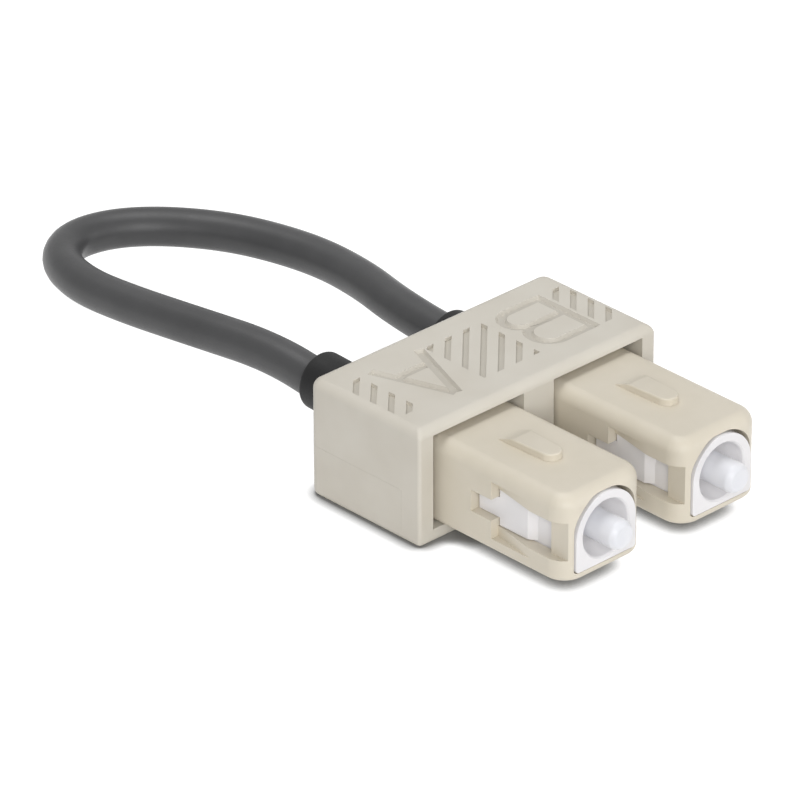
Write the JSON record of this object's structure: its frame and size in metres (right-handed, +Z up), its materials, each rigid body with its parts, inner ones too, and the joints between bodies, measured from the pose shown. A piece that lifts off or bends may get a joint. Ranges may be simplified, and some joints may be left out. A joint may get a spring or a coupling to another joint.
{
  "type": "fibre loopback adapter",
  "caption": "Duplex fibre loopback: square push-pull plugs with sprung ferrules in a moulded housing, joined by a short cable loop.",
  "frame": {"origin": "middle of the housing's flat base", "axes": "+Z up from the base, -Y the way the plugs point, +Y the way the cable leaves, +X from plug A to plug B"},
  "size_m": [0.0258, 0.0678, 0.0103],
  "materials": {
    "housing_plastic": "fine matte moulding",
    "grip_plastic": "satin moulding",
    "frame_plastic": "satin moulding",
    "ferrule_ceramic": "polished",
    "turned_metal": "nickel plated",
    "crimp_metal": "drawn tube",
    "spring_steel": "drawn wire",
    "fibre_coating": "smooth coating",
    "boot_rubber": "matte rubber",
    "cable_jacket": "soft matte jacket"
  },
  "bodies": {
    "yoke": {"upper_shell": "housing_plastic", "lower_shell": "housing_plastic", "grip_a": "grip_plastic", "grip_b": "grip_plastic"},
    "cores": {"plug_frame_a": "frame_plastic", "rear_body_a": "turned_metal", "crimp_sleeve_a": "crimp_metal", "boot_a": "boot_rubber", "ferrule_spring_a": "spring_steel", "plug_frame_b": "frame_plastic", "rear_body_b": "turned_metal", "crimp_sleeve_b": "crimp_metal", "boot_b": "boot_rubber", "ferrule_spring_b": "spring_steel", "cable_loop": "cable_jacket"},
    "ferrule_set_a": {"ferrule_a": "ferrule_ceramic", "ferrule_flange_a": "turned_metal", "buffered_fibre_a": "fibre_coating"},
    "ferrule_set_b": {"ferrule_b": "ferrule_ceramic", "ferrule_flange_b": "turned_metal", "buffered_fibre_b": "fibre_coating"}
  },
  "joints": [
    {"name": "release_slide", "type": "slide", "parent": "yoke", "child": "cores", "axis": [0, -1, 0], "range_m": [0, 0.0018]},
    {"name": "ferrule_a_float", "type": "slide", "parent": "cores", "child": "ferrule_set_a", "axis": [0, 1, 0], "range_m": [0, 0.0015], "stiffness_N_per_m": 800, "deforming": ["ferrule_spring_a"]},
    {"name": "ferrule_b_float", "type": "slide", "parent": "cores", "child": "ferrule_set_b", "axis": [0, 1, 0], "range_m": [0, 0.0015], "stiffness_N_per_m": 800, "deforming": ["ferrule_spring_b"]}
  ]
}
